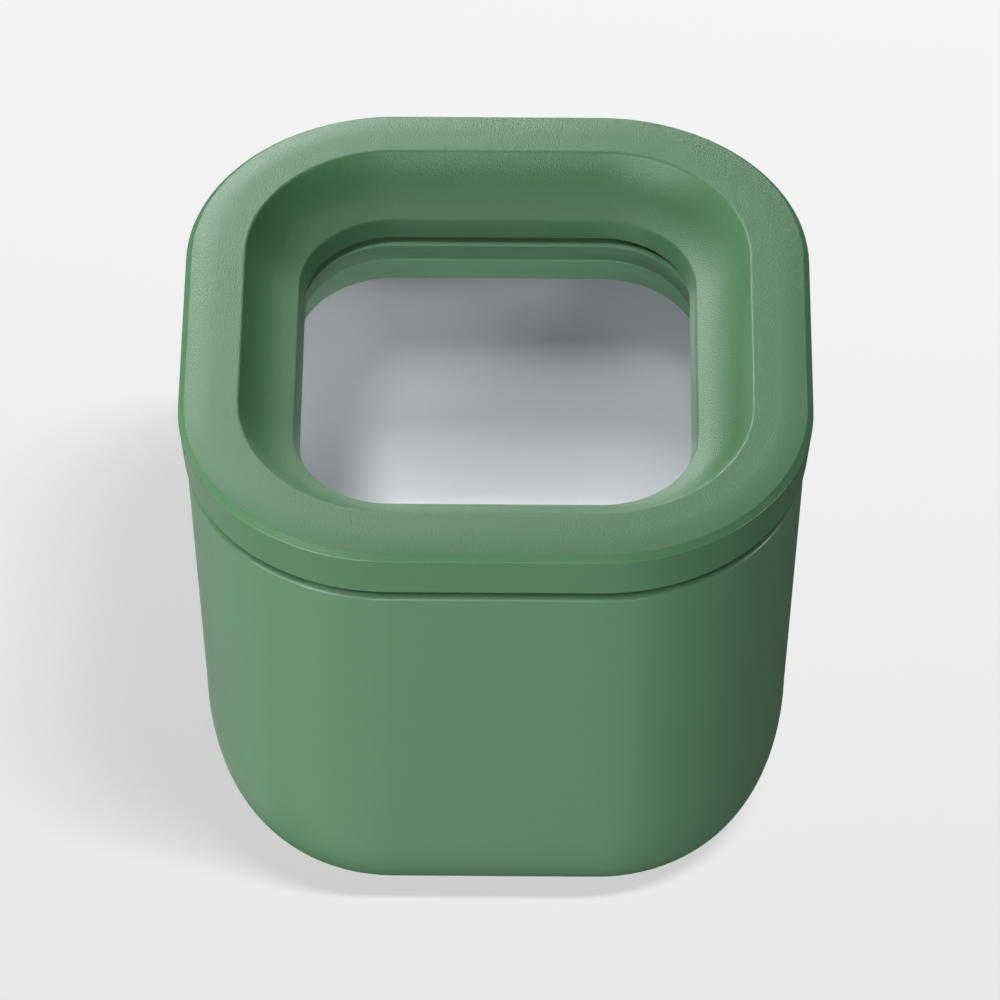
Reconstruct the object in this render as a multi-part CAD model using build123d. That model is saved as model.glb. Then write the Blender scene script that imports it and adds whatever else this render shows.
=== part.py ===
from build123d import *
import os
from math import radians, tan

# Small square food keeper: a coated glass bowl and a lift-off lid with a glass window.
# Millimetres, +Z up, origin at the middle of the footprint, on the surface that the keeper stands on.
# Every outline is a rounded square and all of them share their four corner centres, so one section
# describes a whole piece. A section is drawn as (half size, height), where the half size runs from the
# middle of the keeper to the middle of a side, and is then taken round the four sides and corners.

# Bowl, sizes over its coatings
bowl_width = 82.3            # across the flats at the rim
bowl_corner_radius = 27.15   # of the outline at the rim
bowl_height = 65.2           # floor to rim
bowl_wall = 4.2              # at the rim
bowl_floor = 5.0             # thickness of the base
wall_draft = 2.0             # degrees, inside and outside
heel_width = 8.6             # the outside curves in over this width
heel_height = 21.5           # and over this height
cove_inside_width = 12.0     # the inside curves into its floor over this width
cove_inside_height = 14.0    # and over this height
rim_outer_round = 0.8
rim_inner_round = 1.2
foot_height = 0.3            # bare glass ring that the keeper stands on
foot_width = 3.4
foot_inset = 1.0             # from the end of the heel's curve to the foot
coating_thickness = 0.25
colour_turn_in = 2.0         # the outer colour turns over the rim and down by this much

# Lid frame, the cover that shows
lid_overhang = 0.95          # beyond the bowl on every side
lid_rise = 9.1               # above the bowl's rim
rim_flat = 3.8               # flat part of the rim, next to the cove
rim_fall = 0.45              # beyond it the rim rolls down to the outer edge by this much
lid_draft = 0.6              # the skirt narrows by this much towards its lower edge
skirt_gap = 1.3              # shadow gap between the skirt and the rim's level
skirt_wall = 1.8
top_wall = 2.2
edge_bevel = 0.8             # upper outer edge
edge_round = 0.3             # where the bevel meets the rim and the skirt
skirt_round = 0.4            # lower edge of the skirt
cove_width = 7.2             # from the rim in to the window's lip
cove_depth = 6.1             # from the rim down to the window's lip
cove_radius = 9.6
crease_round = 0.45          # between the rim and the cove
lip_round = 0.5
lip_height = 2.6             # steep wall round the window
lip_lean = 0.75              # that wall leans in by this much towards the pane
funnel_wall = 2.0            # between the cove and the hollow behind it

# Window and what holds it
pane_thickness = 3.0
pane_edge_round = 0.3
pane_overlap = 4.3           # the pane reaches this far behind the lip
seal_thickness = 0.6
seal_setback = 1.2           # the seal starts this far behind the lip
plug_wall = 2.8              # outer wall of the plug
plug_web = 2.0               # ledge that carries the pane
plug_leg = 1.4               # inner leg behind the gasket
plug_lip = 0.5               # the plug's inner wall stands this far behind the window's lip
plug_depth = 9.2             # below the rim
plug_show = 2.3              # height of the plug's own inner wall, above the gasket
flange_thickness = 2.0
tongue_width = 1.2           # rib that joins the frame to the plug
tongue_inset = 1.9           # from the plug's outer edge to the middle of the rib
groove_depth = 0.8
assembly_clearance = 0.15

# Gasket
gasket_thickness = 1.2
gasket_flare = 0.9           # its inner face leans out by this much
gasket_rise = 7.4            # height of the outer flange above the plug's lower edge
gasket_round = 0.5
fin_length = 1.3
fin_root = 1.0
fin_tip = 0.6
fin_sweep = 0.4              # a fin's tip stands this much higher than its root
fin_count = 3
bead_width = 1.6             # ridge that holds the gasket in the plug's groove
bead_depth = 0.7
seal_clearance = 0.2         # between the fins and the bowl

# Half sizes of the main outlines
bowl_half = bowl_width / 2
corner_centre = bowl_half - bowl_corner_radius
bowl_inner_half = bowl_half - bowl_wall
lid_half = bowl_half + lid_overhang
skirt_half = lid_half - lid_draft
flange_half = skirt_half - skirt_wall - assembly_clearance
draft_slope = tan(radians(wall_draft))

# Heights of the lid's main levels
lid_top = bowl_height + lid_rise
skirt_bottom = bowl_height + skirt_gap
ceiling = lid_top - top_wall
flange_top = bowl_height + flange_thickness
lip_top = lid_top - cove_depth
lip_bottom = lip_top - lip_height
pane_top = lip_bottom - seal_thickness
pane_bottom = pane_top - pane_thickness
gasket_top = pane_bottom - plug_show
plug_bottom = bowl_height - plug_depth
gasket_bottom = plug_bottom - gasket_thickness

# Half sizes from the bowl's wall in to the window
gasket_half = bowl_inner_half - draft_slope * plug_depth - seal_clearance - fin_length
plug_half = gasket_half - gasket_thickness
pocket_half = plug_half - plug_wall
pane_half = pocket_half - assembly_clearance - seal_thickness
window_half = pane_half - pane_overlap
lip_half = window_half + lip_lean
crease_half = lip_half + cove_width
plug_inner_half = window_half + plug_lip
tongue_half = flange_half - tongue_inset


def region(*points):
    """Face bounded by straight lines through the points."""
    return make_face(Polyline(*points, close=True)).face()


def rounded(face, *corners):
    """The face with a round at each (point, radius)."""
    for point, radius in corners:
        nearest = min(face.vertices(), key=lambda v: (v.center() - Vector(*point)).length)
        face = face.fillet_2d(radius, [nearest])
    return face


def swept(face, *turns):
    """Straight runs of a face along the sides, at the given quarter turns."""
    run = extrude(Plane.XZ * face, corner_centre, dir=(0, 1, 0), both=True)
    return [Rot(0, 0, 90 * turn) * run for turn in turns]


def turned(face):
    """The four corners of a face, each a quarter turn about its corner centre."""
    start = Pos(0, corner_centre, 0) * (Plane.XZ * face)
    corner = revolve(start, Axis((corner_centre, corner_centre, 0), (0, 0, 1)), 90)
    return [Rot(0, 0, 90 * turn) * corner for turn in range(4)]


def around(section):
    """The solid of a section that is taken round the four sides and the four corners."""
    reach = lid_half + lid_top
    outer = Pos(corner_centre + reach / 2, 0) * Rectangle(reach, 2 * reach)
    solids = []
    for face in (section & outer).faces():
        solids += swept(face, 0, 1, 2, 3) + turned(face)
    for face in (section - outer).faces():
        solids += swept(face, 0, 2)
    return (Part() + solids).clean()


def bowl_outside(inset):
    """Everything inside the bowl's outer surface, set in by the inset."""
    base = foot_height + inset
    top = bowl_height - inset
    rim = bowl_half - inset
    heel_top = foot_height + heel_height
    heel = bowl_half - (bowl_height - heel_top) * draft_slope
    flat = heel - heel_width
    curve = EllipticalCenterArc(
        (flat, heel_top), heel_width - inset, heel_height - inset, start_angle=270, arc_size=90
    )
    lines = Polyline((heel - inset, heel_top), (rim, top), (0, top), (0, base), (flat, base))
    return make_face(Curve() + [curve, lines]).face()


def bowl_inside(growth, top):
    """The bowl's hollow up to a height, grown into the glass by the growth."""
    floor = foot_height + bowl_floor
    cove_top = floor + cove_inside_height
    cove = bowl_inner_half - (bowl_height - cove_top) * draft_slope
    flat = cove - cove_inside_width
    mouth = bowl_inner_half + (top - bowl_height) * draft_slope
    curve = EllipticalCenterArc(
        (flat, cove_top),
        cove_inside_width + growth,
        cove_inside_height + growth,
        start_angle=270,
        arc_size=90,
    )
    lines = Polyline(
        (cove + growth, cove_top), (mouth + growth, top), (0, top), (0, floor - growth), (flat, floor - growth)
    )
    return make_face(Curve() + [curve, lines]).face()


def bowl_section(inset):
    """Section of the bowl's wall and base, set in by the inset on every surface but the foot."""
    above = bowl_height + bowl_wall
    wall = (Sketch() + bowl_outside(inset) - bowl_inside(inset, above)).face()
    top = bowl_height - inset
    return rounded(
        wall,
        ((bowl_half - inset, top), rim_outer_round - inset),
        ((bowl_inner_half + inset, top), rim_inner_round - inset),
    )


def base_section():
    """Section of the bare base: the glass ring that the keeper stands on and the face inside it."""
    heel_top = foot_height + heel_height
    flat = bowl_half - (bowl_height - heel_top) * draft_slope - heel_width
    outer = flat - foot_inset
    inner = outer - foot_width
    top = foot_height + coating_thickness
    return region((0, top), (outer, top), (outer, 0), (inner, 0), (inner, foot_height), (0, foot_height))


def glass_section():
    return Sketch() + bowl_section(coating_thickness) + base_section()


def coating_section():
    """The thin layer between the finished bowl and its glass."""
    return Sketch() + bowl_section(0) - glass_section()


def lining_zone():
    """Everything on the inner side of the glass, up to where the outer colour ends."""
    return bowl_inside(bowl_wall / 2, bowl_height - colour_turn_in)


def make_glass_bowl():
    return around(glass_section())


def make_exterior_coating():
    return around(coating_section() - lining_zone())


def make_interior_coating():
    return around(coating_section() & lining_zone())


def make_lid_frame():
    """Cover with a flat rim, a cove down to the window, a skirt, and a rib that joins it to the plug."""
    block_half = pocket_half - assembly_clearance
    step = flange_top + assembly_clearance
    hollow_half = crease_half + funnel_wall
    cavity_half = skirt_half - skirt_wall
    edge_half = lid_half - edge_bevel
    edge_top = lid_top - rim_fall
    flat_half = crease_half + rim_flat
    cove = RadiusArc((crease_half, lid_top), (lip_half, lip_top), cove_radius)
    roll = TangentArc((flat_half, lid_top), (edge_half, edge_top), tangent=(1, 0))
    rim = Line((flat_half, lid_top), (crease_half, lid_top))
    lines = Polyline(
        (lip_half, lip_top),
        (window_half, lip_bottom),
        (block_half, lip_bottom),
        (block_half, step),
        (block_half + funnel_wall, step),
        (hollow_half, ceiling),
        (cavity_half, ceiling),
        (cavity_half, skirt_bottom),
        (skirt_half, skirt_bottom),
        (lid_half, edge_top - edge_bevel),
        (edge_half, edge_top),
    )
    shell = rounded(
        make_face(Curve() + [cove, lines, roll, rim]).face(),
        ((crease_half, lid_top), crease_round),
        ((lip_half, lip_top), lip_round),
        ((lid_half, edge_top - edge_bevel), edge_round),
        ((edge_half, edge_top), edge_round),
        ((skirt_half, skirt_bottom), skirt_round),
        ((cavity_half, skirt_bottom), skirt_round),
    )
    tongue_end = flange_top - groove_depth
    tongue = Pos(tongue_half, (ceiling + top_wall / 2 + tongue_end) / 2) * Rectangle(
        tongue_width, ceiling + top_wall / 2 - tongue_end
    )
    return around(Sketch() + shell + tongue)


def make_lid_plug():
    """Lower shell: the flange that sits on the bowl's rim, the ledge under the pane, and two legs."""
    leg_half = plug_inner_half + gasket_thickness
    body = region(
        (plug_inner_half, pane_bottom),
        (pocket_half, pane_bottom),
        (pocket_half, flange_top),
        (flange_half, flange_top),
        (flange_half, bowl_height),
        (plug_half, bowl_height),
        (plug_half, plug_bottom),
        (plug_half - plug_leg, plug_bottom),
        (plug_half - plug_leg, pane_bottom - plug_web),
        (leg_half + plug_leg, pane_bottom - plug_web),
        (leg_half + plug_leg, plug_bottom),
        (leg_half, plug_bottom),
        (leg_half, gasket_top),
        (plug_inner_half, gasket_top),
    )
    groove = Pos(tongue_half, flange_top - groove_depth / 2) * Rectangle(
        tongue_width + 2 * assembly_clearance, groove_depth
    )
    return around(Sketch() + body - groove - bead_section())


def make_lid_window():
    pane = extrude(
        RectangleRounded(2 * pane_half, 2 * pane_half, pane_half - corner_centre), pane_thickness
    )
    edges = pane.faces().filter_by(Axis.Z).edges()
    return Pos(0, 0, pane_bottom) * fillet(edges, pane_edge_round)


def make_window_seal():
    """Angle-shaped seal over the pane's edge, squeezed between the lip and the plug."""
    start = window_half + seal_setback
    outer = pane_half + seal_thickness
    section = region(
        (start, lip_bottom),
        (outer, lip_bottom),
        (outer, pane_bottom),
        (pane_half, pane_bottom),
        (pane_half, pane_top),
        (start, pane_top),
    )
    return around(Sketch() + section)


def bead_section():
    """Ridge on the gasket's outer flange, and the groove that it fills in the plug."""
    middle = plug_bottom + gasket_rise / 2
    return region(
        (plug_half, middle - bead_width / 2),
        (plug_half, middle + bead_width / 2),
        (plug_half - bead_depth, middle + bead_width / 4),
        (plug_half - bead_depth, middle - bead_width / 4),
    )


def fin_section(root_height):
    """One fin, from inside the gasket's flange out to just short of the bowl's wall."""
    tip_height = root_height + fin_sweep
    wall = bowl_inner_half - (bowl_height - tip_height + fin_tip / 2) * draft_slope
    tip = wall - seal_clearance
    root = gasket_half - gasket_thickness / 2
    fin = region(
        (root, root_height - fin_root / 2),
        (gasket_half, root_height - fin_root / 2),
        (tip, tip_height - fin_tip / 2),
        (tip, tip_height + fin_tip / 2),
        (gasket_half, root_height + fin_root / 2),
        (root, root_height + fin_root / 2),
    )
    return rounded(
        fin,
        ((tip, tip_height - fin_tip / 2), fin_tip / 3),
        ((tip, tip_height + fin_tip / 2), fin_tip / 3),
    )


def make_lid_gasket():
    """Soft boot round the plug's lower edge, with sealing fins that face the bowl."""
    leg_half = plug_inner_half + gasket_thickness
    flange_end = plug_bottom + gasket_rise
    boot = region(
        (plug_inner_half, gasket_top),
        (leg_half, gasket_top),
        (leg_half, plug_bottom),
        (plug_half, plug_bottom),
        (plug_half, flange_end),
        (gasket_half, flange_end),
        (gasket_half, gasket_bottom),
        (plug_inner_half + gasket_flare, gasket_bottom),
    )
    boot = rounded(
        boot,
        ((plug_inner_half, gasket_top), gasket_round),
        ((plug_inner_half + gasket_flare, gasket_bottom), gasket_round),
        ((gasket_half, gasket_bottom), gasket_round),
        ((gasket_half, flange_end), gasket_round),
    )
    section = Sketch() + boot + bead_section()
    pitch = gasket_rise / fin_count
    for number in range(fin_count):
        section += fin_section(plug_bottom + pitch * (number + 0.5))
    return around(section)


pieces = {
    "glass_bowl": make_glass_bowl,
    "exterior_coating": make_exterior_coating,
    "interior_coating": make_interior_coating,
    "lid_frame": make_lid_frame,
    "lid_plug": make_lid_plug,
    "lid_window": make_lid_window,
    "window_seal": make_window_seal,
    "lid_gasket": make_lid_gasket,
}

os.makedirs("parts", exist_ok=True)
for name, make in pieces.items():
    export_step(make(), f"parts/{name}.step")
print("lid", round(2 * lid_half, 2), "mm wide, keeper", lid_top, "mm high, window", round(2 * window_half, 2), "mm")
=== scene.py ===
from math import cos, radians, sin

import bmesh
import bpy
from mathutils import Matrix, Quaternion, Vector

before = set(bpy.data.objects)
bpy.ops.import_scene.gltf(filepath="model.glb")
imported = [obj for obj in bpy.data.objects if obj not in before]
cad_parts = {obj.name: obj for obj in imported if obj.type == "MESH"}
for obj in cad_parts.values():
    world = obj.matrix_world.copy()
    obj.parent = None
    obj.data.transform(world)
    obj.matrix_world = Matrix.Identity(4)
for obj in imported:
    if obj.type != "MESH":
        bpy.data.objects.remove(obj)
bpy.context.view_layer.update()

print("frame loaded:", ", ".join(sorted(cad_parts)))
scene = bpy.context.scene
scene.view_settings.view_transform = "Standard"
millimetre = 0.001


# helpers for shader nodes

def newMaterial(name):
    material = bpy.data.materials.new(name)
    material.use_nodes = True
    tree = material.node_tree
    tree.nodes.clear()
    return material, tree


def addNode(tree, kind, place=(0, 0), **settings):
    node = tree.nodes.new(kind)
    node.location = place
    for key, value in settings.items():
        setattr(node, key, value)
    return node


def setInputs(node, **values):
    for key, value in values.items():
        node.inputs[key.replace("_", " ")].default_value = value


def newGroup(name, inputs, outputs):
    group = bpy.data.node_groups.new(name, "ShaderNodeTree")
    for socketName, kind, value in inputs:
        socket = group.interface.new_socket(socketName, in_out="INPUT", socket_type=kind)
        if value is not None:
            socket.default_value = value
    for socketName, kind in outputs:
        group.interface.new_socket(socketName, in_out="OUTPUT", socket_type=kind)
    return group, addNode(group, "NodeGroupInput", (-900, 0)), addNode(group, "NodeGroupOutput", (700, 0))


def placeGroup(tree, group, place, **values):
    node = addNode(tree, "ShaderNodeGroup", place, node_tree=group)
    setInputs(node, **values)
    return node


def addMath(tree, operation, place, first=None, second=None, third=None):
    node = addNode(tree, "ShaderNodeMath", place, operation=operation)
    for number, value in enumerate((first, second, third)):
        if value is None:
            continue
        if isinstance(value, (int, float)):
            node.inputs[number].default_value = value
        else:
            tree.links.new(value, node.inputs[number])
    return node.outputs[0]


# spark grain of a moulding: small rounded pits over a finer haze

def buildSparkGrain():
    group, given, result = newGroup(
        "sparkGrain",
        [
            ("Vector", "NodeSocketVector", None),
            ("Pit Size", "NodeSocketFloat", 0.4 * millimetre),
            ("Haze", "NodeSocketFloat", 0.4),
        ],
        [("Height", "NodeSocketFloat")],
    )
    link = group.links.new
    scale = addMath(group, "DIVIDE", (-700, -200), 1.0, given.outputs["Pit Size"])
    pits = addNode(group, "ShaderNodeTexVoronoi", (-450, 150), feature="SMOOTH_F1")
    setInputs(pits, Smoothness=0.6, Randomness=1.0)
    haze = addNode(group, "ShaderNodeTexNoise", (-450, -150))
    setInputs(haze, Detail=2.0, Roughness=0.6)
    for texture in (pits, haze):
        link(given.outputs["Vector"], texture.inputs["Vector"])
        link(scale, texture.inputs["Scale"])
    hazeHeight = addMath(group, "MULTIPLY", (0, -150), haze.outputs["Fac"], given.outputs["Haze"])
    height = addMath(group, "ADD", (250, 50), pits.outputs["Distance"], hazeHeight)
    link(height, result.inputs["Height"])
    return group


# slow drift of a colour and its gloss over a surface, as every coated or moulded piece has

def buildSoftDrift():
    group, given, result = newGroup(
        "softDrift",
        [
            ("Vector", "NodeSocketVector", None),
            ("Color", "NodeSocketColor", (0.5, 0.5, 0.5, 1)),
            ("Drift", "NodeSocketFloat", 0.04),
            ("Roughness", "NodeSocketFloat", 0.4),
            ("Gloss Drift", "NodeSocketFloat", 0.05),
        ],
        [("Color", "NodeSocketColor"), ("Roughness", "NodeSocketFloat")],
    )
    link = group.links.new
    cloud = addNode(group, "ShaderNodeTexNoise", (-650, 100))
    setInputs(cloud, Scale=45.0, Detail=3.0, Roughness=0.55)
    speck = addNode(group, "ShaderNodeTexNoise", (-650, -200))
    setInputs(speck, Scale=2600.0, Detail=1.0)
    for texture in (cloud, speck):
        link(given.outputs["Vector"], texture.inputs["Vector"])
    both = addMath(group, "ADD", (-400, 0), cloud.outputs["Fac"], speck.outputs["Fac"])
    centred = addMath(group, "SUBTRACT", (-220, 0), both, 1.0)
    shade = addMath(group, "MULTIPLY_ADD", (-40, 120), centred, given.outputs["Drift"], 1.0)
    tinted = addNode(group, "ShaderNodeVectorMath", (180, 150), operation="SCALE")
    link(given.outputs["Color"], tinted.inputs[0])
    link(shade, tinted.inputs["Scale"])
    link(tinted.outputs["Vector"], result.inputs["Color"])
    gloss = addMath(group, "MULTIPLY_ADD", (180, -120), centred, given.outputs["Gloss Drift"],
                    given.outputs["Roughness"])
    link(gloss, result.inputs["Roughness"])
    return group


sparkGrain = buildSparkGrain()
softDrift = buildSoftDrift()
green = (0.125, 0.284, 0.148, 1.0)


# a drifting colour and gloss, which every finish but the glass starts from

def driftingFinish(tree, plan):
    link = tree.links.new
    place = addNode(tree, "ShaderNodeTexCoord", (-1100, 0)).outputs["Object"]
    drift = placeGroup(tree, softDrift, (-600, 200), Color=plan["color"], Drift=plan["drift"],
                       Roughness=plan["roughness"], Gloss_Drift=plan["glossDrift"])
    link(place, drift.inputs["Vector"])
    shader = addNode(tree, "ShaderNodeBsdfPrincipled", (200, 100))
    setInputs(shader, IOR=plan["ior"], Specular_IOR_Level=plan["specular"])
    output = addNode(tree, "ShaderNodeOutputMaterial", (500, 100))
    link(drift.outputs["Color"], shader.inputs["Base Color"])
    link(drift.outputs["Roughness"], shader.inputs["Roughness"])
    link(shader.outputs["BSDF"], output.inputs["Surface"])
    return place, shader


def addBump(tree, shader, height, depth):
    bump = addNode(tree, "ShaderNodeBump", (-50, -250))
    setInputs(bump, Strength=1.0, Distance=depth)
    tree.links.new(height, bump.inputs["Height"])
    tree.links.new(bump.outputs["Normal"], shader.inputs["Normal"])


# a finish with the same fine dimples all over

def dimpledFinish(name, plan):
    material, tree = newMaterial(name)
    place, shader = driftingFinish(tree, plan)
    dimples = placeGroup(tree, sparkGrain, (-600, -250), Pit_Size=plan["pitSize"], Haze=plan["haze"])
    tree.links.new(place, dimples.inputs["Vector"])
    addBump(tree, shader, dimples.outputs["Height"], plan["pitDepth"])
    return material


def dress(nodeName, material):
    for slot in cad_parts[nodeName].material_slots:
        slot.material = material


# exterior coating: smooth satin green with a faint orange peel

coatPlan = dict(color=green, drift=0.02, roughness=0.34, glossDrift=0.03, ior=1.5,
                specular=0.54, pitSize=2.2 * millimetre, pitDepth=0.012 * millimetre, haze=0.5)
dress("exterior_coating", dimpledFinish("satinGreenCoat", coatPlan))
print("exterior coating dressed")


# interior coating: pale cool grey, a little glossier

liningPlan = dict(color=(0.60, 0.605, 0.645, 1.0), drift=0.02, roughness=0.34, glossDrift=0.03, ior=1.5,
                  specular=0.5, pitSize=2.6 * millimetre, pitDepth=0.010 * millimetre, haze=0.5)
dress("interior_coating", dimpledFinish("greyLining", liningPlan))
print("interior coating dressed")


# lid frame: spark grain on what faces up, smooth on the upright skirt and lip, where the colour is darkened
# as painted shade

framePlan = dict(color=(0.120, 0.304, 0.143, 1.0), drift=0.07, roughness=0.34, glossDrift=0.04, ior=1.5,
                 specular=0.60, pitSize=0.20 * millimetre, pitDepth=0.045 * millimetre, haze=0.5,
                 uprightBelow=0.18, grainAbove=0.40, paintedShadeFullBelow=0.02, paintedShadeNoneAbove=0.12, uprightPaintedShade=0.80)


def grainedMoulding():
    material, tree = newMaterial("grainedGreenMoulding")
    place, shader = driftingFinish(tree, framePlan)
    grain = placeGroup(tree, sparkGrain, (-800, -250), Pit_Size=framePlan["pitSize"], Haze=framePlan["haze"])
    tree.links.new(place, grain.inputs["Vector"])
    facing = addNode(tree, "ShaderNodeSeparateXYZ", (-800, -500))
    tree.links.new(addNode(tree, "ShaderNodeNewGeometry", (-1100, -500)).outputs["Normal"], facing.inputs[0])
    upward = addNode(tree, "ShaderNodeMapRange", (-550, -500), interpolation_type="SMOOTHSTEP")
    setInputs(upward, From_Min=framePlan["uprightBelow"], From_Max=framePlan["grainAbove"])
    tree.links.new(facing.outputs["Z"], upward.inputs["Value"])
    height = addMath(tree, "MULTIPLY", (-300, -300), grain.outputs["Height"], upward.outputs["Result"])
    addBump(tree, shader, height, framePlan["pitDepth"])
    # painted shade: the colour is scaled down on faces that stand upright or look down, such as the skirt
    # and lip
    shade = addNode(tree, "ShaderNodeMapRange", (-550, -800))
    setInputs(shade, From_Min=framePlan["paintedShadeFullBelow"], From_Max=framePlan["paintedShadeNoneAbove"],
              To_Min=framePlan["uprightPaintedShade"])
    tree.links.new(facing.outputs["Z"], shade.inputs["Value"])
    tinted = addNode(tree, "ShaderNodeVectorMath", (-250, 350), operation="SCALE")
    tree.links.new(shader.inputs["Base Color"].links[0].from_socket, tinted.inputs[0])
    tree.links.new(shade.outputs["Result"], tinted.inputs["Scale"])
    tree.links.new(tinted.outputs["Vector"], shader.inputs["Base Color"])
    return material


dress("lid_frame", grainedMoulding())
print("lid frame dressed")


# plug: smooth matte moulding under the window, its green darkened to about half as painted shade of the
# recess under the lid

plugPlan = dict(color=(0.066, 0.150, 0.078, 1.0), drift=0.04, roughness=0.5, glossDrift=0.05, ior=1.5,
                specular=0.5, pitSize=0.9 * millimetre, pitDepth=0.01 * millimetre, haze=0.6)
dress("lid_plug", dimpledFinish("plainGreenMoulding", plugPlan))
print("plug dressed")


# gasket and window seal: soft matte silicone, the seal coloured near black as a painted shadow for the gap
# under the lip

gasketPlan = dict(color=green, drift=0.05, roughness=0.58, glossDrift=0.05, ior=1.42,
                  specular=0.5, pitSize=0.25 * millimetre, pitDepth=0.012 * millimetre, haze=0.8)
# painted shadow: the seal's near-black colour stands in for the shadow gap between the lip and the pane
sealPlan = dict(color=(0.006, 0.010, 0.007, 1.0), drift=0.05, roughness=0.6, glossDrift=0.05, ior=1.42,
                specular=0.2, pitSize=0.25 * millimetre, pitDepth=0.012 * millimetre, haze=0.8)
dress("lid_gasket", dimpledFinish("greenSilicone", gasketPlan))
dress("window_seal", dimpledFinish("sealPaintedShadow", sealPlan))
print("gasket and seal dressed")


# clear glass: the window, and the bare foot of the bowl

panePlan = dict(color=(0.97, 0.985, 0.978, 1.0), roughness=0.0, ior=1.5,
                smearSize=9.0 * millimetre, smear=0.012)
bowlGlassPlan = dict(color=(0.90, 0.95, 0.93, 1.0), roughness=0.02, ior=1.5,
                     smearSize=6.0 * millimetre, smear=0.03)


def clearGlass(name, plan):
    material, tree = newMaterial(name)
    link = tree.links.new
    place = addNode(tree, "ShaderNodeTexCoord", (-900, 0)).outputs["Object"]
    smear = addNode(tree, "ShaderNodeTexNoise", (-650, -100))
    setInputs(smear, Scale=1.0 / plan["smearSize"], Detail=3.0)
    link(place, smear.inputs["Vector"])
    rough = addMath(tree, "MULTIPLY_ADD", (-350, -100), smear.outputs["Fac"], plan["smear"],
                    plan["roughness"])
    shader = addNode(tree, "ShaderNodeBsdfPrincipled", (-100, 100))
    setInputs(shader, Base_Color=plan["color"], IOR=plan["ior"], Transmission_Weight=1.0)
    link(rough, shader.inputs["Roughness"])
    # light that only passes through goes straight on, so that what is behind the glass is lit
    path = addNode(tree, "ShaderNodeLightPath", (-350, 500))
    passing = addMath(tree, "MAXIMUM", (-100, 450), path.outputs["Is Shadow Ray"],
                      path.outputs["Is Diffuse Ray"])
    through = addNode(tree, "ShaderNodeBsdfTransparent", (-100, -250))
    through.inputs["Color"].default_value = plan["color"]
    mix = addNode(tree, "ShaderNodeMixShader", (250, 100))
    link(passing, mix.inputs["Fac"])
    link(shader.outputs["BSDF"], mix.inputs[1])
    link(through.outputs["BSDF"], mix.inputs[2])
    output = addNode(tree, "ShaderNodeOutputMaterial", (450, 100))
    link(mix.outputs["Shader"], output.inputs["Surface"])
    return material


dress("lid_window", clearGlass("clearPane", panePlan))
dress("glass_bowl", clearGlass("pressedGlass", bowlGlassPlan))
print("glass dressed")


# floor: a matt grey sheet that carries the shadow, and looks pale to the camera and through glass

floorPlan = dict(half=2.0, drop=0.05 * millimetre, seen=0.22, unseen=0.07, roughness=0.9,
                 near=0.54, far=0.715, nearY=-0.13, farY=0.16)


def buildFloor():
    mesh = bpy.data.meshes.new("floor")
    shape = bmesh.new()
    bmesh.ops.create_grid(shape, x_segments=1, y_segments=1, size=floorPlan["half"],
                          matrix=Matrix.Translation((0, 0, -floorPlan["drop"])))
    shape.to_mesh(mesh)
    shape.free()
    floor = bpy.data.objects.new("floor", mesh)
    scene.collection.objects.link(floor)
    material, tree = newMaterial("paleFloor")
    link = tree.links.new
    split = addNode(tree, "ShaderNodeSeparateXYZ", (-900, 0))
    link(addNode(tree, "ShaderNodeTexCoord", (-1100, 0)).outputs["Object"], split.inputs[0])
    level = addNode(tree, "ShaderNodeMapRange", (-700, 0))
    setInputs(level, From_Min=floorPlan["nearY"], From_Max=floorPlan["farY"],
              To_Min=floorPlan["near"], To_Max=floorPlan["far"])
    link(split.outputs["Y"], level.inputs["Value"])
    path = addNode(tree, "ShaderNodeLightPath", (-900, 400))
    seen = addMath(tree, "MAXIMUM", (-700, 350), path.outputs["Is Camera Ray"],
                   path.outputs["Is Transmission Ray"])
    glow = addMath(tree, "MULTIPLY", (-350, 100), seen, level.outputs["Result"])
    shade = addNode(tree, "ShaderNodeMapRange", (-350, 350))
    setInputs(shade, To_Min=floorPlan["unseen"], To_Max=floorPlan["seen"])
    link(seen, shade.inputs["Value"])
    shader = addNode(tree, "ShaderNodeBsdfPrincipled", (0, 0))
    setInputs(shader, Roughness=floorPlan["roughness"], Specular_IOR_Level=0.0,
              Emission_Color=(1.0, 1.0, 1.0, 1.0))
    link(shade.outputs["Result"], shader.inputs["Base Color"])
    link(glow, shader.inputs["Emission Strength"])
    link(shader.outputs["BSDF"], addNode(tree, "ShaderNodeOutputMaterial", (300, 0)).inputs["Surface"])
    mesh.materials.append(material)
    return floor


floor = buildFloor()
print("floor laid")


# camera at the photograph's viewing angle

cameraPlan = dict(aim=(0.45 * millimetre, 0.0, 40.86 * millimetre), elevation=46.25, swing=0.51,
                  distance=1.0, lens=262.96, sensor=36.0, nearest=0.05)


def buildCamera():
    turn = Matrix.Rotation(radians(cameraPlan["swing"]), 3, "Z")
    lift = radians(cameraPlan["elevation"])
    aim = turn @ Vector(cameraPlan["aim"])
    back = turn @ Vector((0, -cos(lift), sin(lift)))
    data = bpy.data.cameras.new("photoCamera")
    data.lens = cameraPlan["lens"]
    data.sensor_width = cameraPlan["sensor"]
    data.clip_start = cameraPlan["nearest"]
    camera = bpy.data.objects.new("photoCamera", data)
    camera.location = aim + back * cameraPlan["distance"]
    camera.rotation_euler = back.to_track_quat("Z", "Y").to_euler()
    scene.collection.objects.link(camera)
    scene.camera = camera


buildCamera()
print("camera set")


# studio: soft lamps round the keeper, bounce from below that the floor lets through, two lamps for the
# inside, one for the floor, and a dim world
# an azimuth of 0 is the front and 90 the right, a distance is from the middle of the keeper

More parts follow.
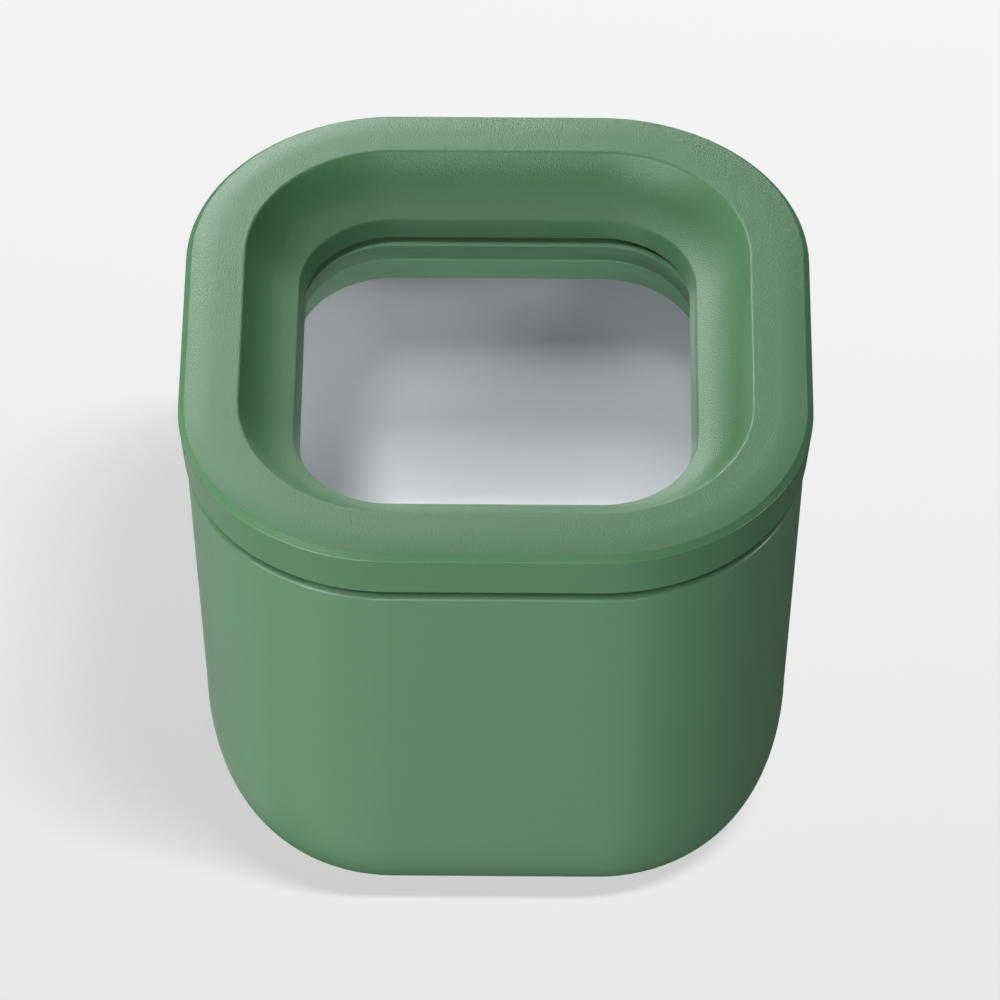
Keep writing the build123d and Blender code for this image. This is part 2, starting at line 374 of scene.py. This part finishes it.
worldPlan = dict(color=(1.0, 1.0, 1.0, 1.0), strength=0.02)
keeper = list(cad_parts.values())
inside = [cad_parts[name] for name in ("interior_coating", "lid_gasket", "lid_plug")]
keeperMiddle = Vector((0.0, 0.0, 50.0 * millimetre))


def softBox(azimuth, elevation, wide, tall, watts, distance=0.8, lights=keeper, **more):
    return dict(azimuth=azimuth, elevation=elevation, wide=wide, tall=tall, watts=watts, distance=distance,
                lights=lights, **more)


lampPlans = dict(
    lowBox=softBox(azimuth=-62, elevation=2, wide=0.14, tall=0.14, watts=1.25),
    frontLowBox=softBox(azimuth=-36, elevation=5, wide=0.14, tall=0.20, watts=2.0),
    frontBox=softBox(azimuth=-5, elevation=6, wide=0.14, tall=0.20, watts=1.25),
    cornerBox=softBox(azimuth=-40, elevation=28, wide=0.10, tall=0.10, watts=1.0),
    leftEdgeBox=softBox(azimuth=-110, elevation=4, wide=0.18, tall=0.14, watts=0.40),
    highBox=softBox(azimuth=-22, elevation=74, wide=0.30, tall=0.30, watts=0.50),
    rearHighBox=softBox(azimuth=-150, elevation=68, wide=0.44, tall=0.44, watts=0.90),
    rightHighBox=softBox(azimuth=120, elevation=60, wide=0.30, tall=0.30, watts=0.50),
    backLowBox=softBox(azimuth=-172, elevation=22, wide=0.20, tall=0.20, watts=0.52, distance=0.6),
    backBox=softBox(azimuth=-160, elevation=31, wide=0.20, tall=0.20, watts=1.0, distance=0.6),
    leftRearBox=softBox(azimuth=-133, elevation=29, wide=0.24, tall=0.24, watts=0.40, distance=0.6),
    rightRearBox=softBox(azimuth=160, elevation=22, wide=0.20, tall=0.20, watts=0.34, distance=0.6),
    rightBounce=softBox(azimuth=84, elevation=-9, wide=0.14, tall=0.14, watts=1.2, shadows=keeper),
    leftBounce=softBox(azimuth=-118, elevation=-42, wide=0.60, tall=0.40, watts=0.22, distance=0.5,
                       shadows=keeper),
    frontBounce=softBox(azimuth=-20, elevation=-48, wide=0.60, tall=0.60, watts=0.28, distance=0.5,
                        shadows=keeper),
    paneBox=softBox(azimuth=-165, elevation=46, wide=0.32, tall=0.30, watts=0.11, distance=0.6, fade=1.0),
    insideBox=softBox(azimuth=-27, elevation=71.5, wide=0.12, tall=0.12, watts=6.6, lights=inside),
    insideFill=softBox(azimuth=44, elevation=39, wide=0.30, tall=0.30, watts=3.1, lights=inside),
    floorKey=softBox(azimuth=54, elevation=70.5, wide=0.14, tall=0.80, watts=42.0, distance=2.0, roll=38,
                     lights=[floor]),
)


def buildWorld():
    world = bpy.data.worlds.new("studioWorld")
    scene.world = world
    world.use_nodes = True
    shade = world.node_tree.nodes["Background"]
    shade.inputs["Color"].default_value = worldPlan["color"]
    shade.inputs["Strength"].default_value = worldPlan["strength"]


# a box that fades from its middle to its edge, so that its reflection has no hard rim

def fadeEdge(data, fade):
    data.use_nodes = True
    tree = data.node_tree
    link = tree.links.new
    spot = addNode(tree, "ShaderNodeNewGeometry", (-900, 0)).outputs["Parametric"]
    away = addNode(tree, "ShaderNodeVectorMath", (-650, 0), operation="DISTANCE")
    link(spot, away.inputs[0])
    away.inputs[1].default_value = (0.5, 0.5, 0.0)  # the middle of the box, whose edge is 0.5 away
    level = addNode(tree, "ShaderNodeMapRange", (-400, 0), interpolation_type="SMOOTHSTEP")
    setInputs(level, From_Min=0.5 * (1.0 - fade), From_Max=0.5, To_Min=1.0, To_Max=0.0)
    link(away.outputs["Value"], level.inputs["Value"])
    link(level.outputs["Result"], tree.nodes["Emission"].inputs["Strength"])


def groupOf(name, pieces):
    group = bpy.data.collections.new(name)
    for piece in pieces:
        group.objects.link(piece)
    return group


def buildLamp(name, plan):
    lift = radians(plan["elevation"])
    turn = radians(plan["azimuth"])
    away = Vector((sin(turn) * cos(lift), -cos(turn) * cos(lift), sin(lift)))
    data = bpy.data.lights.new(name, "AREA")
    data.shape = "ELLIPSE"
    data.size = plan["wide"]
    data.size_y = plan["tall"]
    data.energy = plan["watts"]
    if "fade" in plan:
        fadeEdge(data, plan["fade"])
    lamp = bpy.data.objects.new(name, data)
    lamp.location = keeperMiddle + away * plan["distance"]
    roll = Quaternion((0.0, 0.0, 1.0), radians(plan.get("roll", 0.0)))
    lamp.rotation_euler = (away.to_track_quat("Z", "Y") @ roll).to_euler()
    scene.collection.objects.link(lamp)
    lamp.light_linking.receiver_collection = groupOf(name + "Lights", plan["lights"])
    if "shadows" in plan:
        # the floor doesn't stop this light, so none of it is left to rays that would end on the floor
        lamp.light_linking.blocker_collection = groupOf(name + "Shadows", plan["shadows"])
        data.cycles.use_multiple_importance_sampling = False
    return lamp


buildWorld()
lamps = {name: buildLamp(name, plan) for name, plan in lampPlans.items()}
print("studio lit by", ", ".join(lamps))
